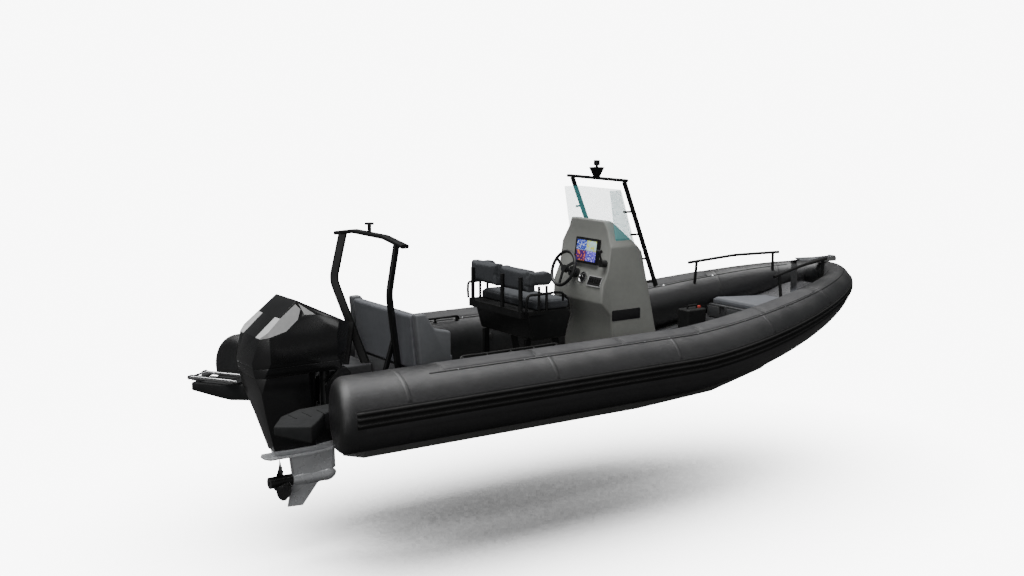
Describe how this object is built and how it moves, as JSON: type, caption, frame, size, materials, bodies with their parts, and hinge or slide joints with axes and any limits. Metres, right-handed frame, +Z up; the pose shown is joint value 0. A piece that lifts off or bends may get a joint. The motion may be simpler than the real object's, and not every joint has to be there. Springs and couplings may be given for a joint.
{
  "type": "rigid inflatable boat",
  "caption": "Rigid-hulled inflatable boat with centre console, helm seat, aft bench, arch, boarding ladder and a steerable, tilting outboard engine.",
  "frame": {"origin": "on the centreline at the hull's aft end, at the waterline", "axes": "+X to the bow, +Y to port, +Z up"},
  "size_m": [6.8696, 2.568, 2.712],
  "materials": {
    "bare_casting": "as cast",
    "bench_shell": "satin moulding",
    "black_coated_tube": "satin powder coat",
    "black_moulding": "satin",
    "can_moulding": "moulded plastic",
    "console_gelcoat": "satin gelcoat",
    "cowl_black": "gloss paint",
    "cowl_grey": "satin",
    "cushion_cover": "upholstery vinyl",
    "deck_moulding": "gelcoat",
    "deck_nonslip": "moulded anti-slip",
    "display_screen": "screen in a black case",
    "engine_black": "gloss paint",
    "engine_silver": "silver paint",
    "galvanised": "galvanised",
    "hull_gelcoat": "gelcoat",
    "platform_moulding": "satin gelcoat",
    "propeller_black": "gloss paint",
    "screen_glass": "clear, faint tint",
    "seat_cover": "upholstery vinyl",
    "seat_shell": "satin moulding",
    "stainless": "polished",
    "strake_rubber": "ribbed rubber",
    "tread_rubber": "fine anti-slip ribs",
    "tube_skin": "coated fabric, satin",
    "wheel_grip": "soft grip"
  },
  "bodies": {
    "boat": {"anchor": "galvanised", "arch_bar": "black_coated_tube", "arch_leg_port": "black_coated_tube", "arch_leg_starboard": "black_coated_tube", "bench_back": "cushion_cover", "bench_base": "deck_moulding", "bench_seat": "cushion_cover", "bench_wings": "bench_shell", "bow_eye": "stainless", "bow_locker": "deck_moulding", "bow_posts_port": "black_coated_tube", "bow_posts_starboard": "black_coated_tube", "bow_rail_port": "black_coated_tube", "bow_rail_starboard": "black_coated_tube", "bow_roller": "stainless", "clamp_bracket": "engine_black", "console": "console_gelcoat", "deck": "deck_nonslip", "display": "display_screen", "fuel_can": "can_moulding", "helm_back_frame": "black_coated_tube", "helm_back_port": "seat_cover", "helm_back_starboard": "seat_cover", "helm_boss": "black_moulding", "helm_cushion": "seat_cover", "helm_legs": "black_coated_tube", "helm_pod": "seat_shell", "hoop_bar": "black_coated_tube", "hoop_leg_port": "black_coated_tube", "hoop_leg_starboard": "black_coated_tube", "hull": "hull_gelcoat", "ladder_base": "stainless", "platform_port": "platform_moulding", "platform_starboard": "platform_moulding", "strake_port": "strake_rubber", "strake_starboard": "strake_rubber", "throttle": "black_moulding", "transom": "deck_moulding", "tread_port": "tread_rubber", "tread_starboard": "tread_rubber", "tube_bow_port": "tube_skin", "tube_bow_starboard": "tube_skin", "tube_port": "tube_skin", "tube_starboard": "tube_skin", "windscreen": "screen_glass"},
    "engine_tilt": {"swivel_bracket": "engine_black"},
    "engine": {"midsection": "engine_black", "gearcase": "engine_silver", "cowl_upper": "cowl_black", "cowl_lower": "cowl_black", "cowl_vents": "cowl_grey", "engine_block": "bare_casting"},
    "propeller": {"propeller": "propeller_black"},
    "steering_wheel": {"steering_wheel": "wheel_grip"},
    "bow_lid": {"bow_lid": "deck_moulding", "bow_cushion": "cushion_cover"},
    "ladder_rails": {"ladder_rails": "stainless"},
    "ladder_middle": {"ladder_middle": "stainless"},
    "ladder_end": {"ladder_end": "stainless"}
  },
  "joints": [
    {"name": "engine_tilt", "type": "hinge", "parent": "boat", "child": "engine_tilt", "pos_m": [0.15, 0, 0.395], "axis": [0, 1, 0], "range_deg": [0, 57]},
    {"name": "engine_steer", "type": "hinge", "parent": "engine_tilt", "child": "engine", "pos_m": [0.03, 0, 0.2], "axis": [0, 0, 1], "range_deg": [-30, 30]},
    {"name": "propeller_spin", "type": "hinge", "parent": "engine", "child": "propeller", "pos_m": [-0.386, 0, -0.468], "axis": [1, 0, 0], "continuous": true},
    {"name": "wheel_turn", "type": "hinge", "parent": "boat", "child": "steering_wheel", "pos_m": [2.482, 0.06, 1.032], "axis": [-0.9397, 0, 0.342], "range_deg": [-720, 720]},
    {"name": "bow_lid_hinge", "type": "hinge", "parent": "boat", "child": "bow_lid", "pos_m": [4.688, 0, 0.432], "axis": [0, -1, 0], "range_deg": [0, 95]},
    {"name": "ladder_swing", "type": "hinge", "parent": "boat", "child": "ladder_rails", "pos_m": [-0.696, 0.939, 0.274], "axis": [-0.8339, -0.5519, 0], "range_deg": [0, 250]},
    {"name": "ladder_middle_slide", "type": "slide", "parent": "ladder_rails", "child": "ladder_middle", "axis": [0.5519, -0.8339, 0], "range_m": [0, 0.25]},
    {"name": "ladder_end_slide", "type": "slide", "parent": "ladder_middle", "child": "ladder_end", "axis": [0.5519, -0.8339, 0], "range_m": [0, 0.25]}
  ],
  "couplings": [
    {"joint": "wheel_turn", "follows": "engine_steer", "ratio": 24},
    {"joint": "ladder_middle_slide", "follows": "ladder_swing", "m_per_rad": 0.055004},
    {"joint": "ladder_end_slide", "follows": "ladder_swing", "m_per_rad": 0.055004}
  ]
}
